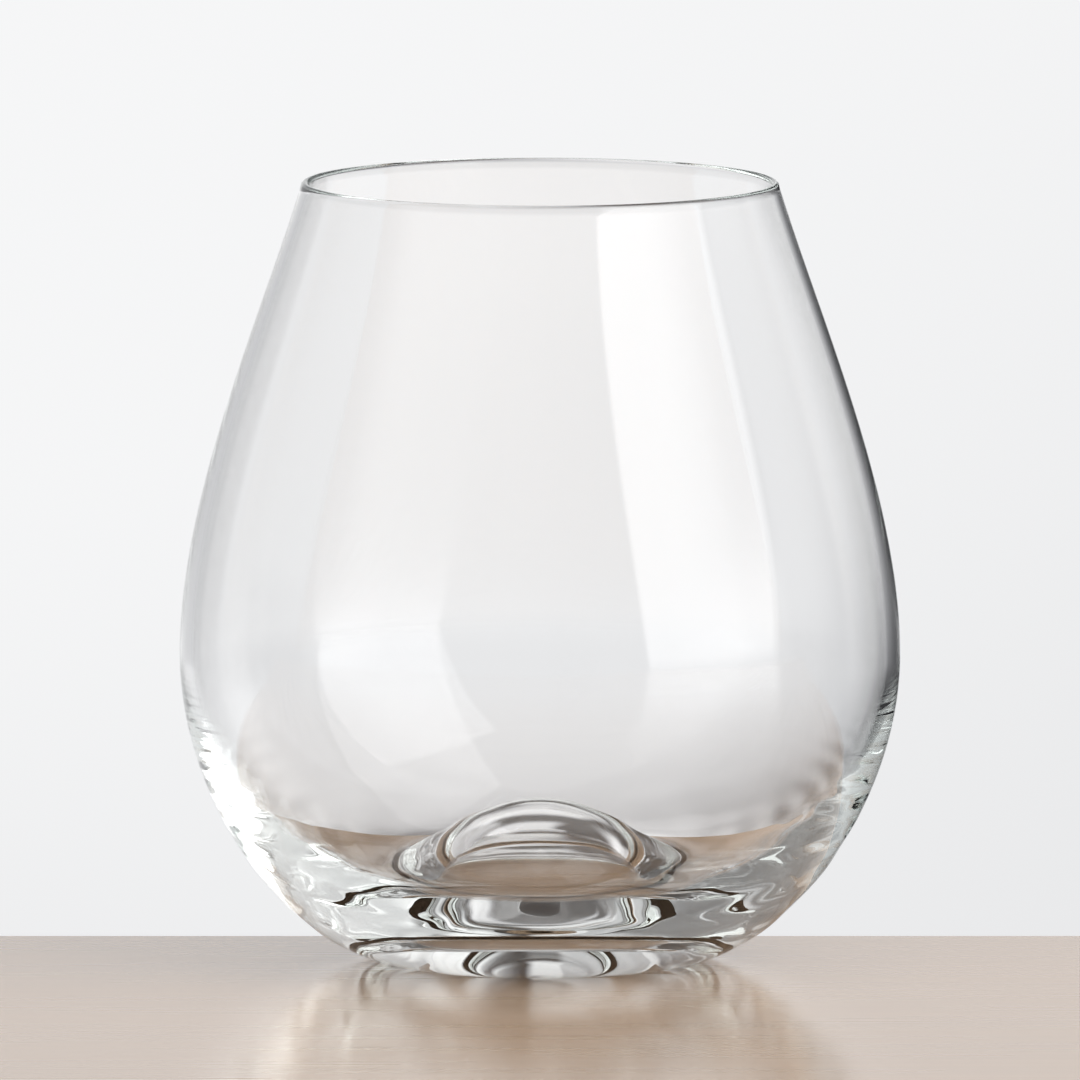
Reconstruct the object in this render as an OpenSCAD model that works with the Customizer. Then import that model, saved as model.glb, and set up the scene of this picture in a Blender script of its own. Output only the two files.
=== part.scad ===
// Stemless wine glass, blown clear crystal, one continuous piece.
// The glass is a body of revolution about Z and stands on its foot ring at z = 0.
// Its section is a closed run of smooth curves: outside wall, rounded lip, inside wall,
// inside floor with a raised dome, hollow under the base and flat foot ring.
// The bowl and the base are the two zones of that one section. They share their curves
// and meet face to face on the flat ring at shoulder_h.

/* [Outside] */
// Height from the table to the top of the rim
glass_h = 108.5; // [95:0.1:125]
// Widest diameter of the glass
belly_d = 100; // [85:0.1:110]
// Height of the widest place
belly_h = 42.7; // [38:0.1:50]
// Outside diameter of the mouth
mouth_d = 66.3; // [56:0.1:76]
// Outside diameter of the foot ring
foot_d = 42.1; // [38:0.1:48]
// Width of the flat foot ring that the glass stands on
foot_ring_w = 1.7; // [1:0.1:3.5]
// Reach of the level run of the heel curve, from the foot ring outwards
heel_reach = 13.4; // [9:0.1:17]
// Slope of the heel where it leaves the foot ring, in degrees above level
heel_slope = 7.3; // [4:0.1:14]
// Reach of the upright run of the side curve below the widest place
side_reach = 21.3; // [16:0.1:26]
// Reach of the upright run of the side curve above the widest place
shoulder_reach = 21.9; // [14:0.1:28]
// Reach of the straight run of the side curve below the lip
lip_reach = 18.2; // [12:0.1:26]
// Lean of the wall at the lip, in degrees from upright
lip_lean = 16.7; // [8:0.1:22]

/* [Inside wall] */
// Thickness of the wall at the lip
lip_wall = 1.2; // [0.9:0.05:1.8]
// Thickness of the wall at the widest place
belly_wall = 1.7; // [1.3:0.05:2.6]
// Reach of the upright run of the inside curve below the widest place
inner_side_reach = 19; // [14:0.1:24]
// Reach of the level run of the inside curve, from the floor outwards
inner_heel_reach = 9.8; // [6:0.1:14]

/* [Inside floor] */
// Thickness of the base at the lowest ring of the floor
floor_t = 8.6; // [7.5:0.1:12]
// Diameter of the lowest ring of the floor
floor_d = 44.6; // [41:0.1:50]
// Rise of the dome above the lowest ring
dome_rise = 10.8; // [9.5:0.1:13]
// Reach of the level run at the top of the dome
dome_reach = 10.9; // [8:0.1:13]
// Reach of the level run where the dome flares into the floor
flare_reach = 5.7; // [4:0.1:9]

/* [Hollow under the base] */
// Height of the hollow at the axis
punt_h = 14; // [6:0.1:15]
// Reach of the level run at the top of the hollow
punt_reach = 12.4; // [8:0.1:13]
// Reach of the level run where the hollow flares into the foot ring
punt_flare_reach = 4.5; // [3:0.1:8]

/* [Zones] */
// Height of the flat ring where the bowl sits on the base
shoulder_h = 16; // [14:0.5:20]

/* [Hidden] */
// Facets round the axis; the section is turned into true surfaces of revolution
$fn = 180;
// Straight steps along one curve of the section
wall_steps = 26;
floor_steps = 18;
lip_steps = 8;
// Overrun of the cutting bodies past the glass
overrun = 5;
lip_r = lip_wall / 2;
lip_z = glass_h - lip_r;
mouth_r = mouth_d / 2;
belly_r = belly_d / 2;
inner_belly_r = belly_r - belly_wall;
inner_mouth_r = mouth_r - lip_wall;
dome_z = floor_t + dome_rise;
foot_r = foot_d / 2;
punt_r = foot_r - foot_ring_w;
floor_r = floor_d / 2;

// Point at the share t of the way along a smooth curve from a to d, pulled towards b and c
function curve_point(a, b, c, d, t) =
    pow(1 - t, 3) * a + 3 * pow(1 - t, 2) * t * b + 3 * (1 - t) * t * t * c + pow(t, 3) * d;

// Points of that curve, without its first one
function curve(a, b, c, d, steps) = [for (i = [1:steps]) curve_point(a, b, c, d, i / steps)];

// Point a given reach down the leaning wall from the point at radius r and height z
function down_lean(r, z, reach) = [r + reach * sin(lip_lean), z - reach * cos(lip_lean)];

// Hollow under the base, from the axis to the foot ring's inner edge
function punt_curve() = curve(
    [0, punt_h],
    [punt_reach, punt_h],
    [punt_r - punt_flare_reach, 0],
    [punt_r, 0],
    floor_steps);

// Heel, from the foot ring's outer edge up to the widest place
function heel_curve() = curve(
    [foot_r, 0],
    [foot_r + heel_reach * cos(heel_slope), heel_reach * sin(heel_slope)],
    [belly_r, belly_h - side_reach],
    [belly_r, belly_h],
    wall_steps);

// Outside wall, from the widest place up to the lip
function side_curve() = curve(
    [belly_r, belly_h],
    [belly_r, belly_h + shoulder_reach],
    down_lean(mouth_r, lip_z, lip_reach),
    [mouth_r, lip_z],
    wall_steps);

// Round of the lip, over the top from the outside to the inside
function lip_curve() = [
    for (i = [1:lip_steps])
        [mouth_r - lip_r + lip_r * cos(180 * i / lip_steps), lip_z + lip_r * sin(180 * i / lip_steps)]
];

// Inside wall, from the lip down to the widest place
function inner_side_curve() = curve(
    [inner_mouth_r, lip_z],
    down_lean(inner_mouth_r, lip_z, lip_reach),
    [inner_belly_r, belly_h + shoulder_reach],
    [inner_belly_r, belly_h],
    wall_steps);

// Inside wall, from the widest place down to the lowest ring of the floor
function inner_heel_curve() = curve(
    [inner_belly_r, belly_h],
    [inner_belly_r, belly_h - inner_side_reach],
    [floor_r + inner_heel_reach, floor_t],
    [floor_r, floor_t],
    wall_steps);

// Floor, from its lowest ring up over the dome to the axis
function dome_curve() = curve(
    [floor_r, floor_t],
    [floor_r - flare_reach, floor_t],
    [dome_reach, dome_z],
    [0, dome_z],
    floor_steps);

// Whole section of the glass
module section() {
    polygon(concat(
        [[0, punt_h]],
        punt_curve(),
        [[foot_r, 0]],
        heel_curve(),
        side_curve(),
        lip_curve(),
        inner_side_curve(),
        inner_heel_curve(),
        dome_curve()));
}

// Whole glass, turned round its axis
module glass_body() {
    rotate_extrude() section();
}

// Space above the shoulder, outside the floor: everything of the glass in it is bowl
module bowl_zone() {
    translate([0, 0, shoulder_h])
        difference() {
            cylinder(r = belly_r + overrun, h = glass_h);
            translate([0, 0, -overrun]) cylinder(r = floor_r, h = glass_h + 2 * overrun);
        }
}

// Thin blown wall from the shoulder up to the rounded lip
module bowl() {
    color([0.86, 0.89, 0.90, 0.55])
        intersection() {
            glass_body();
            bowl_zone();
        }
}

// Heavy base: heel, floor with its dome, hollow underneath and foot ring
module base() {
    color([0.78, 0.84, 0.84, 0.75])
        difference() {
            glass_body();
            bowl_zone();
        }
}

bowl();
base();
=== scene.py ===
import math
import bpy
import numpy as np
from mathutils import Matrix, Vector


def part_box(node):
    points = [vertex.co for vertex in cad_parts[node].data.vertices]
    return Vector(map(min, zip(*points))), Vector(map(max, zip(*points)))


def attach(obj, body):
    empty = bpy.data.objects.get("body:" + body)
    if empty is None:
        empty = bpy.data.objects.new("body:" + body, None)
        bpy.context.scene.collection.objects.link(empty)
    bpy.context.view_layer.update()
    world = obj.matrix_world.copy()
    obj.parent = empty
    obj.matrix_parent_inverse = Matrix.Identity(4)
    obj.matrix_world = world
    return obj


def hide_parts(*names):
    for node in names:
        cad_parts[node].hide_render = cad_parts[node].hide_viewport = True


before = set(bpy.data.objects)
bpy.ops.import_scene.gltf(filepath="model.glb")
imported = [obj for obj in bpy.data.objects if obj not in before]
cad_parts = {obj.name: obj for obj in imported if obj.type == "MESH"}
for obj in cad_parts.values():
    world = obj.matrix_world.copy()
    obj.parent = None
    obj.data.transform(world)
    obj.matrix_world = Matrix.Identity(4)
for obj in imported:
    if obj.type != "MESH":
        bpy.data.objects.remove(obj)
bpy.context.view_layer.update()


# Photograph's camera: a long lens 3.5 m in front of the glass, a little above its rim and
# looking down by under 7 degrees. The distance and height come from a fit of the glass's
# outline, and the image is 1080 pixels wide.
CAMERA_DISTANCE = 3.5
CAMERA_HEIGHT = 0.46933
AIM_HEIGHT = 0.05853
LENS = 847.1
SENSOR = 36.0

camera_data = bpy.data.cameras.new("camera")
camera_data.lens = LENS
camera_data.sensor_width = SENSOR
camera_data.clip_start = 0.1
camera_data.clip_end = 50.0
camera = bpy.data.objects.new("camera", camera_data)
camera.location = (0.0, -CAMERA_DISTANCE, CAMERA_HEIGHT)
camera.rotation_euler = (math.pi / 2 - math.atan2(CAMERA_HEIGHT - AIM_HEIGHT, CAMERA_DISTANCE), 0.0, 0.0)
bpy.context.scene.collection.objects.link(camera)
bpy.context.scene.camera = camera
bpy.context.scene.view_settings.view_transform = "Standard"


# The glass: one body of clear crystal, blown into a mould and fire-polished at the lip. The
# wall thins from the heavy base to the lip. The bowl and the base of the construction are two
# zones of this one piece, so one closed surface stands for both. Its sizes are in millimetres.
MM = 0.001
TURN = 2 * math.pi
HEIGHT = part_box("bowl")[1][2] / MM
BELLY_R = 50.0
BELLY_Z = 42.7
MOUTH_R = 33.15
FOOT_R = 21.05
FOOT_RING = 1.7
HEEL_REACH = 13.4
HEEL_SLOPE = math.radians(7.3)
SIDE_REACH = 21.3
SHOULDER_REACH = 21.9
LIP_REACH = 18.2
LIP_LEAN = math.radians(16.7)
LIP_WALL = 1.2
BELLY_WALL = 1.7
INNER_SIDE_REACH = 19.0
INNER_HEEL_REACH = 9.8
FLOOR_Z = 8.6
FLOOR_R = 22.3
DOME_RISE = 10.8
DOME_REACH = 10.9
FLARE_REACH = 5.7
PUNT_Z = 14.0
PUNT_REACH = 12.4
PUNT_FLARE_REACH = 4.5

# Ring ripples on the inside of the heel: the heights they lie between, the fade at each end,
# the pitch at the lowest and highest, the depth, and the share of it left at the front.
RIPPLE_ZONE = (9.5, 31.0)
RIPPLE_FADE = 6.0
RIPPLE_PITCH = (5.0, 2.4)
RIPPLE_DEPTH = 0.05
RIPPLE_LEAST = 0.05
RIPPLE_GATHER = 14      # power of the cosine that gathers the ripples to the two sides
RIPPLE_SPIRAL = 1       # whole waves that the ripples climb in one turn
RIPPLE_SWAYS = [
    # amount, sways round the glass, phase
    (0.9, 1, 0.6),
    (0.5, 3, 0.0),
]

# Shallow swells all over the base, and deeper lumps in the heel, most of all at its two sides.
# Both keep off the flat foot ring, and their lobes are turned by their phase times a shift.
FOOT_FLAT = 0.02
LOBE_SHIFT = 2.4
SWELL_TOP = 34.0
SWELL_FADE = 8.0
SWELLS = [
    # depth, length along the section, lobes round the glass, phase
    (0.003, 14.0, 3, 0.4),
    (0.0015, 9.0, 7, 1.7),
    (0.0008, 6.0, 13, 2.9),
    (0.0004, 4.3, 19, 4.1),
]
LUMP_INNER_R = 22.0
LUMP_TOP = 22.0
LUMP_FADE = 7.0
LUMP_GATHER = 2
LUMPS = [
    # depth, length along the section, lobes round the glass, phase
    (0.08, 12.0, 9, 0.9),
    (0.04, 8.0, 15, 2.2),
]

# Crystal: how it bends and tints light, and the hair of change in its gloss and height.
CRYSTAL_IOR = 1.52
CRYSTAL_TINT = (0.90, 0.94, 0.92, 1.0)
TINT_DENSITY = 8.0
NOISE_MIDDLE = (0.3, 0.7)
POLISH_STRETCH = (45.0, 45.0, 30.0)
POLISH_DETAIL = 0.0
POLISH = (0.0, 0.008)
RELIEF = 0.000004

# Steps of the mesh round the axis and along each run of the section.
SPOKES = 192
SIDE_STEPS = 46
HEEL_STEPS = 84
DOME_STEPS = 70
PUNT_STEPS = 60
LIP_STEPS = 12


def curve(start, pull_start, pull_end, end, steps):
    """Smooth curve: the four points weighted by the cubic Bernstein shares of t, which runs
    from 0 to 1 in even steps. The first point is left out, because the curve before ends there."""
    t = np.linspace(0.0, 1.0, steps + 1)[1:, None]
    points = [np.array(p, dtype=float) for p in (start, pull_start, pull_end, end)]
    shares = [(1 - t) ** 3, 3 * t * (1 - t) ** 2, 3 * t ** 2 * (1 - t), t ** 3]
    return sum(share * point for share, point in zip(shares, points))


def glass_section():
    """Radius and height, in millimetres, round the section of the glass: from the axis in the
    hollow, over the foot ring, up the outside, over the lip, down the inside and up the dome."""
    lip_r = LIP_WALL / 2
    lip_z = HEIGHT - lip_r
    inner_mouth = MOUTH_R - LIP_WALL
    inner_belly = BELLY_R - BELLY_WALL
    punt_r = FOOT_R - FOOT_RING
    lean = np.array([LIP_REACH * math.sin(LIP_LEAN), -LIP_REACH * math.cos(LIP_LEAN)])
    heel = [FOOT_R + HEEL_REACH * math.cos(HEEL_SLOPE), HEEL_REACH * math.sin(HEEL_SLOPE)]
    dome_z = FLOOR_Z + DOME_RISE
    turn = np.linspace(0.0, math.pi, LIP_STEPS + 1)[1:, None]
    return np.vstack([
        [[0.0, PUNT_Z]],
        curve([0, PUNT_Z], [PUNT_REACH, PUNT_Z], [punt_r - PUNT_FLARE_REACH, 0], [punt_r, 0], PUNT_STEPS),
        [[FOOT_R - FOOT_RING / 2, 0.0], [FOOT_R, 0.0]],
        curve([FOOT_R, 0], heel, [BELLY_R, BELLY_Z - SIDE_REACH], [BELLY_R, BELLY_Z], HEEL_STEPS),
        curve([BELLY_R, BELLY_Z], [BELLY_R, BELLY_Z + SHOULDER_REACH],
              [MOUTH_R, lip_z] + lean, [MOUTH_R, lip_z], SIDE_STEPS),
        np.hstack([MOUTH_R - lip_r + lip_r * np.cos(turn), lip_z + lip_r * np.sin(turn)]),
        curve([inner_mouth, lip_z], [inner_mouth, lip_z] + lean,
              [inner_belly, BELLY_Z + SHOULDER_REACH], [inner_belly, BELLY_Z], SIDE_STEPS),
        curve([inner_belly, BELLY_Z], [inner_belly, BELLY_Z - INNER_SIDE_REACH],
              [FLOOR_R + INNER_HEEL_REACH, FLOOR_Z], [FLOOR_R, FLOOR_Z], HEEL_STEPS),
        curve([FLOOR_R, FLOOR_Z], [FLOOR_R - FLARE_REACH, FLOOR_Z], [DOME_REACH, dome_z],
              [0, dome_z], DOME_STEPS),
    ])


def rise(distance, fade):
    """Share that rises over the fade from a zone's edge: distance / fade, kept from 0 to 1."""
    return np.clip(distance / fade, 0, 1)


def lobed(waves, along, angle):
    """Sum of depth * sin(TURN * along / length + turn) * sin(lobes * angle + shift * turn)."""
    return sum(depth * np.sin(TURN * along / length + turn) * np.sin(lobes * angle + LOBE_SHIFT * turn)
               for depth, length, lobes, turn in waves)


def hand_waves(section, angle):
    """Slight waves of the blown surface, in millimetres outwards along the section's normal.
    Ring ripples run round the inside of the heel: depth * strength(angle) * window(z) *
    sin(phase(z)). The phase is the integral of TURN / pitch, whose pitch grows towards the
    floor, and the strength is a power of cos(angle), so the ripples gather at the two sides.
    The swells and the heel's lumps are products of sines along the section and round it."""
    inside = np.arange(len(section)) > np.argmax(section[:, 1])
    radius = section[:, 0, None]
    height = section[:, 1, None]
    step = np.linalg.norm(np.diff(section, axis=0, prepend=section[:1]), axis=1)
    along = np.cumsum(step)[:, None]
    low, high = RIPPLE_ZONE
    window = rise(height - low, RIPPLE_FADE) * rise(high - height, RIPPLE_FADE) * (radius > FLOOR_R)
    share = rise(height - low, high - low)
    pitch_low, pitch_high = RIPPLE_PITCH
    pitch_gain = pitch_high - pitch_low
    phase = TURN * (high - low) * np.log(pitch_low + pitch_gain * share) / pitch_gain
    phase = phase + RIPPLE_SPIRAL * angle
    for amount, sways, turn in RIPPLE_SWAYS:
        phase = phase + amount * np.sin(sways * angle + turn)
    strength = RIPPLE_LEAST + (1 - RIPPLE_LEAST) * np.cos(angle) ** RIPPLE_GATHER
    ripple = RIPPLE_DEPTH * window * inside[:, None] * strength * np.sin(phase)
    off_foot = height > FOOT_FLAT
    base = rise(SWELL_TOP - height, SWELL_FADE) * rise(radius, SWELL_FADE) * off_foot
    heel = rise(LUMP_TOP - height, LUMP_FADE) * rise(radius - LUMP_INNER_R, LUMP_FADE) * off_foot
    heel = heel * np.cos(angle) ** LUMP_GATHER
    return ripple + base * lobed(SWELLS, along, angle) + heel * lobed(LUMPS, along, angle)


def turned_mesh(name, section, spokes):
    """Surface of revolution: every section point goes round the Z axis at even angles, moved by
    the waves along its normal, and the section's two ends on the axis are one vertex each."""
    angle = np.arange(spokes) * TURN / spokes
    wave = hand_waves(section, angle)[1:-1]
    run = section[2:] - section[:-2]
    run = run / np.linalg.norm(run, axis=1)[:, None]
    ring_r = section[1:-1, 0, None] + wave * run[:, 1, None]
    ring_z = section[1:-1, 1, None] - wave * run[:, 0, None]
    rings = np.stack([ring_r * np.cos(angle), ring_r * np.sin(angle), ring_z], axis=-1)
    poles = [[0.0, 0.0, section[0, 1]], [0.0, 0.0, section[-1, 1]]]
    points = np.vstack([poles, rings.reshape(-1, 3)]) * MM
    ring_count = len(section) - 2
    index = 2 + np.arange(ring_count * spokes).reshape(ring_count, spokes)
    nxt = np.roll(index, -1, axis=1)
    quads = np.stack([index[:-1], nxt[:-1], nxt[1:], index[1:]], axis=-1).reshape(-1, 4)
    first = np.stack([nxt[0], index[0], np.zeros(spokes, int)], axis=-1)
    last = np.stack([index[-1], nxt[-1], np.ones(spokes, int)], axis=-1)
    mesh = bpy.data.meshes.new(name)
    mesh.from_pydata(points.tolist(), [], quads.tolist() + first.tolist() + last.tolist())
    mesh.polygons.foreach_set("use_smooth", np.ones(len(mesh.polygons), dtype=bool))
    mesh.update()
    return mesh


def soft_noise(nodes, links, stretch, detail):
    """Even noise over the object's own coordinates, in metres times stretch, brought from its
    middle range to 0 to 1."""
    where = nodes.new("ShaderNodeTexCoord")
    grid = nodes.new("ShaderNodeMapping")
    grid.inputs["Scale"].default_value = stretch
    noise = nodes.new("ShaderNodeTexNoise")
    noise.inputs["Scale"].default_value = 1.0
    noise.inputs["Detail"].default_value = detail
    share = nodes.new("ShaderNodeMapRange")
    share.inputs["From Min"].default_value, share.inputs["From Max"].default_value = NOISE_MIDDLE
    links.new(where.outputs["Object"], grid.inputs["Vector"])
    links.new(grid.outputs["Vector"], noise.inputs["Vector"])
    links.new(noise.outputs["Fac"], share.inputs["Value"])
    return share.outputs["Result"]


def set_roughness(nodes, links, shader, share, low, high):
    """Roughness low + share * (high - low), from a share of 0 to 1 over the surface."""
    spread = nodes.new("ShaderNodeMapRange")
    spread.inputs["To Min"].default_value = low
    spread.inputs["To Max"].default_value = high
    links.new(share, spread.inputs["Value"])
    links.new(spread.outputs["Result"], shader.inputs["Roughness"])


def crystal():
    """Clear crystal with a trace of grey-green in its thickness. The fire-polished surface is
    almost perfectly smooth: its gloss and its height vary by a hair."""
    material = bpy.data.materials.new("clear_crystal")
    material.use_nodes = True
    nodes = material.node_tree.nodes
    links = material.node_tree.links
    shader = nodes["Principled BSDF"]
    shader.inputs["Base Color"].default_value = (1.0, 1.0, 1.0, 1.0)
    shader.inputs["Transmission Weight"].default_value = 1.0
    shader.inputs["IOR"].default_value = CRYSTAL_IOR
    surface = soft_noise(nodes, links, POLISH_STRETCH, POLISH_DETAIL)
    set_roughness(nodes, links, shader, surface, *POLISH)
    relief = nodes.new("ShaderNodeBump")
    relief.inputs["Distance"].default_value = RELIEF
    links.new(surface, relief.inputs["Height"])
    links.new(relief.outputs["Normal"], shader.inputs["Normal"])
    tint = nodes.new("ShaderNodeVolumeAbsorption")
    tint.inputs["Color"].default_value = CRYSTAL_TINT
    tint.inputs["Density"].default_value = TINT_DENSITY
    links.new(tint.outputs["Volume"], nodes["Material Output"].inputs["Volume"])
    return material


glass = bpy.data.objects.new("wine_glass", turned_mesh("wine_glass", glass_section(), SPOKES))
glass.data.materials.append(crystal())
bpy.context.scene.collection.objects.link(glass)
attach(glass, "root")
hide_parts("bowl", "base")


# Table: a pale warm wooden board with a satin finish. Its far edge lies just behind the foot
# ring, and the glass stands wholly on it.
TABLE_FAR = 23.6
TABLE_NEAR = -1200.0
TABLE_HALF = 900.0
TABLE_THICK = 30.0
GRAIN_STRETCH = (7.0, 180.0, 40.0)      # the grain runs along X: slow along it, fine across it
GRAIN_DETAIL = 3.0
WOOD_DARK = (0.82, 0.545, 0.335, 1.0)
WOOD_PALE = (0.90, 0.61, 0.39, 1.0)
WOOD_ROUGHNESS = (0.26, 0.30)
WOOD_SPECULAR = 0.35
COAT_ROUGHNESS = 0.15


def table_board():
    """Box from the table's edges, its top face at z = 0."""
    x = TABLE_HALF
    corners = [(sx * x, y, z) for z in (-TABLE_THICK, 0.0) for sx, y in
               ((-1, TABLE_NEAR), (1, TABLE_NEAR), (1, TABLE_FAR), (-1, TABLE_FAR))]
    faces = [(3, 2, 1, 0), (4, 5, 6, 7), (0, 1, 5, 4), (1, 2, 6, 5), (2, 3, 7, 6), (3, 0, 4, 7)]
    mesh = bpy.data.meshes.new("table")
    mesh.from_pydata((np.array(corners) * MM).tolist(), [], faces)
    return bpy.data.objects.new("table", mesh)


def satin_board():
    """Warm pale wood with a faint straight grain, under a satin clear surface. The grain is
    noise stretched along the board, and it moves the colour and the gloss a little."""
    material = bpy.data.materials.new("satin_board")
    material.use_nodes = True
    nodes = material.node_tree.nodes
    links = material.node_tree.links
    shader = nodes["Principled BSDF"]
    wood = nodes.new("ShaderNodeValToRGB")
    wood.color_ramp.elements[0].color = WOOD_DARK
    wood.color_ramp.elements[1].color = WOOD_PALE
    grain = soft_noise(nodes, links, GRAIN_STRETCH, GRAIN_DETAIL)
    links.new(grain, wood.inputs["Fac"])
    links.new(wood.outputs["Color"], shader.inputs["Base Color"])
    set_roughness(nodes, links, shader, grain, *WOOD_ROUGHNESS)
    shader.inputs["Coat Weight"].default_value = 1.0
    shader.inputs["Coat Roughness"].default_value = COAT_ROUGHNESS
    shader.inputs["Specular IOR Level"].default_value = WOOD_SPECULAR
    return material


table = table_board()
table.data.materials.append(satin_board())
bpy.context.scene.collection.objects.link(table)


# Studio room: a pale backdrop behind the glass that falls off to the right and upwards, boards
# and screens round it, and a dim room above it. It is all in the world, by direction. The tints
# go with the level: a dim part is a little cooler than a pale one.
DIM_ROOM = 0.05
PALE_TINT = (0.993, 0.996, 1.0, 1.0)
DIM_TINT = (0.94, 0.95, 1.0, 1.0)
EVERYWHERE = 400
ROOM_PARTS = [
    # from and to azimuth, from and to elevation, softness of azimuth and of elevation, level
    # pale sweep below eye level
    (-EVERYWHERE, EVERYWHERE, -100, 4, 10, 8, 0.90),
    # grey wall at the left
    (-102, -11.5, -12, 24, 3, 12, 0.60),
    # dark corner at the left
    (-104, -58, -8, 100, 9, 6, 0.18),
    # backdrop, and on round to the right
    (-14, 147, -100, 11, 2, 7, 0.935),
    # pale panel high behind the glass
    (-34, 16, 31, 48, 2, 4, 0.85),
    # backdrop's fall to the lower right
    (0.6, 48, -52, -7, 1.5, 3, 0.79),
    # backdrop's foot
    (-30, 37, -100, -7.4, 9, 1, 0.855),
    # dark floor at the back right
    (0.5, 32, -52, -16, 7, 13, 0.31),
    # dark screen at the back right
    (6.6, 40, -100, 44, 4, 3, 0.04),
    # low white board at the right
    (25, 79, -3.5, 15, 16, 10, 1.20),
    # tall grey board at the right
    (62, 92, -16, 76, 3, 3, 0.65),
    # white board at the front left
    (-140, -112, -9, 46, 16, 2, 1.20),
    # room behind the camera
    (-EVERYWHERE, -115, -100, 100, 16, 12, 0.76),
    (115, EVERYWHERE, -100, 100, 16, 12, 0.76),
    # pale ceiling behind the camera
    (-EVERYWHERE, -115, 22, 100, 16, 14, 0.95),
    (115, EVERYWHERE, 22, 100, 16, 14, 0.95),
]


def studio_room():
    """World whose brightness is a chain of soft windows: each mixes the level so far with its
    own, by the share smooth(azimuth) * smooth(elevation). Azimuth is in degrees from straight
    ahead of the camera (+Y) towards +X, and elevation is in degrees above level."""
    world = bpy.data.worlds.new("studio_room")
    world.use_nodes = True
    nodes = world.node_tree.nodes
    links = world.node_tree.links
    nodes.clear()

    def calc(kind, *values):
        node = nodes.new("ShaderNodeMath")
        node.operation = kind
        for socket, value in zip(node.inputs, values):
            if isinstance(value, (int, float)):
                socket.default_value = value
            else:
                links.new(value, socket)
        return node.outputs[0]

    def smooth(value, low, high):
        node = nodes.new("ShaderNodeMapRange")
        node.interpolation_type = "SMOOTHSTEP"
        links.new(value, node.inputs["Value"])
        node.inputs["From Min"].default_value = low
        node.inputs["From Max"].default_value = high
        return node.outputs["Result"]

    def between(value, low, high, soft):
        up = smooth(value, low - soft, low + soft)
        down = smooth(value, high - soft, high + soft)
        return calc("SUBTRACT", up, down)

    where = nodes.new("ShaderNodeTexCoord")
    parts = nodes.new("ShaderNodeSeparateXYZ")
    links.new(where.outputs["Generated"], parts.inputs[0])
    azimuth = calc("MULTIPLY", calc("ARCTAN2", parts.outputs["X"], parts.outputs["Y"]), 180 / math.pi)
    elevation = calc("MULTIPLY", calc("ARCSINE", parts.outputs["Z"]), 180 / math.pi)
    level = DIM_ROOM
    for az_from, az_to, el_from, el_to, az_soft, el_soft, part_level in ROOM_PARTS:
        share = calc("MULTIPLY", between(azimuth, az_from, az_to, az_soft),
                     between(elevation, el_from, el_to, el_soft))
        level = calc("ADD", level, calc("MULTIPLY", share, calc("SUBTRACT", part_level, level)))
    glow = nodes.new("ShaderNodeBackground")
    tint = nodes.new("ShaderNodeValToRGB")
    tint.color_ramp.elements[0].color = DIM_TINT
    tint.color_ramp.elements[1].color = PALE_TINT
    links.new(level, tint.inputs["Fac"])
    links.new(tint.outputs["Color"], glow.inputs["Color"])
    links.new(level, glow.inputs["Strength"])
    out = nodes.new("ShaderNodeOutputWorld")
    links.new(glow.outputs[0], out.inputs["Surface"])
    return world


bpy.context.scene.world = studio_room()


# Tall softbox at the right, in front of the glass: a cloth-covered lamp with soft edges, the
# lower one the softest. It draws the long strip on the right of the glass and the patch on the
# left. The fades are shares of its width and height.
SOFTBOX_AZIMUTH = math.radians(58)
SOFTBOX_ELEVATION = math.radians(26)
SOFTBOX_DISTANCE = 1.3
SOFTBOX_SIZE = (1.31, 1.60)
SOFTBOX_POWER = 11.6
SOFTBOX_AIM = Vector((0.0, 0.0, 0.05))
SOFTBOX_SIDE_FADE = 0.05
SOFTBOX_LOW_FADE = 0.12


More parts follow.
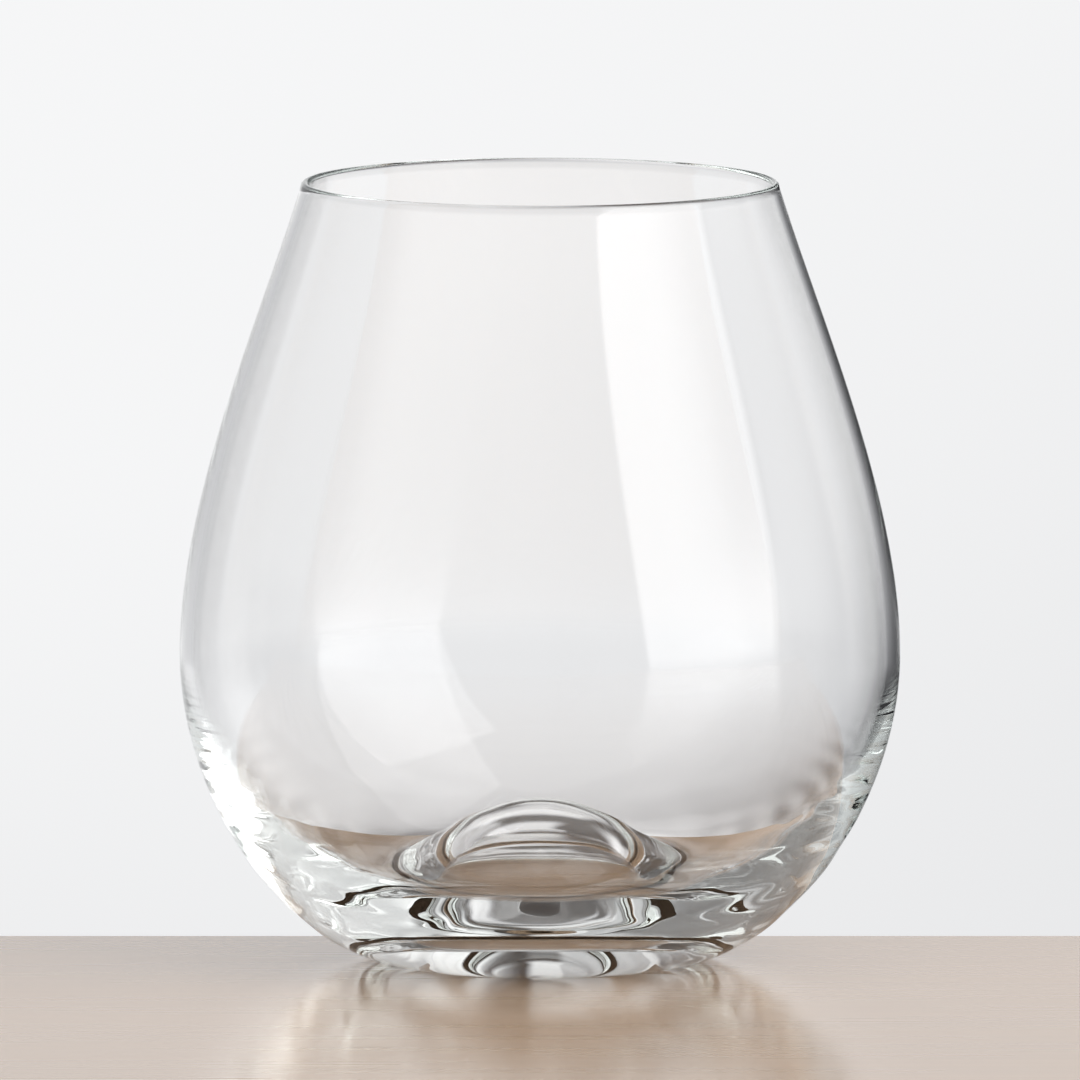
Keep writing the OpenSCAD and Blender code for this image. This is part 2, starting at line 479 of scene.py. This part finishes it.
def softbox():
    """Area light aimed at the glass, placed by azimuth from the camera's side towards +X. The
    cloth's brightness is the product of four smooth steps, one in from each edge."""
    data = bpy.data.lights.new("softbox", "AREA")
    data.shape = "RECTANGLE"
    data.size, data.size_y = SOFTBOX_SIZE
    data.energy = SOFTBOX_POWER
    data.use_nodes = True
    nodes = data.node_tree.nodes
    links = data.node_tree.links
    cloth = nodes.new("ShaderNodeNewGeometry")
    parts = nodes.new("ShaderNodeSeparateXYZ")
    links.new(cloth.outputs["Parametric"], parts.inputs[0])
    level = None
    for axis, full_at, zero_at in (
            ("X", SOFTBOX_SIDE_FADE, 0.0),
            ("X", 1 - SOFTBOX_SIDE_FADE, 1.0),
            ("Y", 1 - SOFTBOX_SIDE_FADE, 1.0),
            ("Y", SOFTBOX_LOW_FADE, 0.0)):
        fade = nodes.new("ShaderNodeMapRange")
        fade.interpolation_type = "SMOOTHSTEP"
        links.new(parts.outputs[axis], fade.inputs["Value"])
        fade.inputs["From Min"].default_value = zero_at
        fade.inputs["From Max"].default_value = full_at
        if level is None:
            level = fade.outputs["Result"]
        else:
            both = nodes.new("ShaderNodeMath")
            both.operation = "MULTIPLY"
            links.new(level, both.inputs[0])
            links.new(fade.outputs["Result"], both.inputs[1])
            level = both.outputs[0]
    links.new(level, nodes["Emission"].inputs["Strength"])
    lamp = bpy.data.objects.new("softbox", data)
    flat = math.cos(SOFTBOX_ELEVATION)
    away = Vector((math.sin(SOFTBOX_AZIMUTH) * flat, -math.cos(SOFTBOX_AZIMUTH) * flat,
                   math.sin(SOFTBOX_ELEVATION)))
    lamp.location = SOFTBOX_AIM + SOFTBOX_DISTANCE * away
    lamp.rotation_euler = away.to_track_quat("Z", "Y").to_euler()
    lamp.visible_camera = False
    return lamp


bpy.context.scene.collection.objects.link(softbox())

# Light goes round many times inside the thick base before it leaves it.
BOUNCES = 64
bpy.context.scene.cycles.max_bounces = BOUNCES
bpy.context.scene.cycles.transmission_bounces = BOUNCES
bpy.context.scene.cycles.glossy_bounces = BOUNCES
